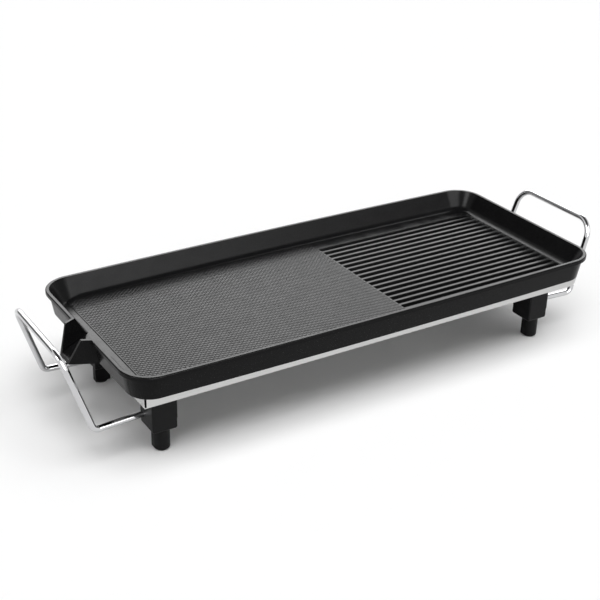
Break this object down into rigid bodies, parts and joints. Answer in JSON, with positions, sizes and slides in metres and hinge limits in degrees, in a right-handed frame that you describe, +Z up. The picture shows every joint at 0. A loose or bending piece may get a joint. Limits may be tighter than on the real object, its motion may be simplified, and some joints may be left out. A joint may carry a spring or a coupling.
{
  "type": "electric griddle",
  "caption": "Long shallow electric griddle pan with a ribbed half and a pouring spout, lifted off a sheet-metal tray on moulded feet with wire handles.",
  "frame": {"origin": "on the supporting surface, under the middle of the pan", "axes": "+X along the pan towards the power inlet, with the spout at -X; +Y from the front long side to the back; +Z up"},
  "size_m": [0.794, 0.2938, 0.1455],
  "materials": {
    "pan_coating": "black non-stick coating on cast aluminium, satin",
    "tray_steel": "satin sheet",
    "foot_plastic": "moulded, satin",
    "rubber": "matte",
    "chrome": "polished",
    "element_sheath": "annealed, dull",
    "terminal_metal": "bright",
    "guard_steel": "satin",
    "fastener_steel": "zinc plated",
    "ceramic": "white ceramic, matte"
  },
  "bodies": {
    "stand": {"sheet_tray": "tray_steel", "tray_grommets": "rubber", "handle_left": "chrome", "handle_right": "chrome", "foot_screws": "fastener_steel", "foot_washers": "fastener_steel", "foot_nuts": "fastener_steel", "foot_block_front_left": "foot_plastic", "foot_leg_front_left": "foot_plastic", "foot_pad_front_left": "rubber", "foot_block_front_right": "foot_plastic", "foot_leg_front_right": "foot_plastic", "foot_pad_front_right": "rubber", "foot_block_back_right": "foot_plastic", "foot_leg_back_right": "foot_plastic", "foot_pad_back_right": "rubber", "foot_block_back_left": "foot_plastic", "foot_leg_back_left": "foot_plastic", "foot_pad_back_left": "rubber"},
    "pan": {"cooking_pan": "pan_coating", "heating_element": "element_sheath", "terminal_pins": "terminal_metal", "terminal_insulators": "ceramic", "probe_sleeve": "terminal_metal", "inlet_guard": "guard_steel", "guard_screws": "fastener_steel", "locating_pins": "fastener_steel"}
  },
  "joints": [
    {"name": "pan_lift", "type": "slide", "parent": "stand", "child": "pan", "axis": [0, 0, 1], "range_m": [0, 0.08]}
  ]
}
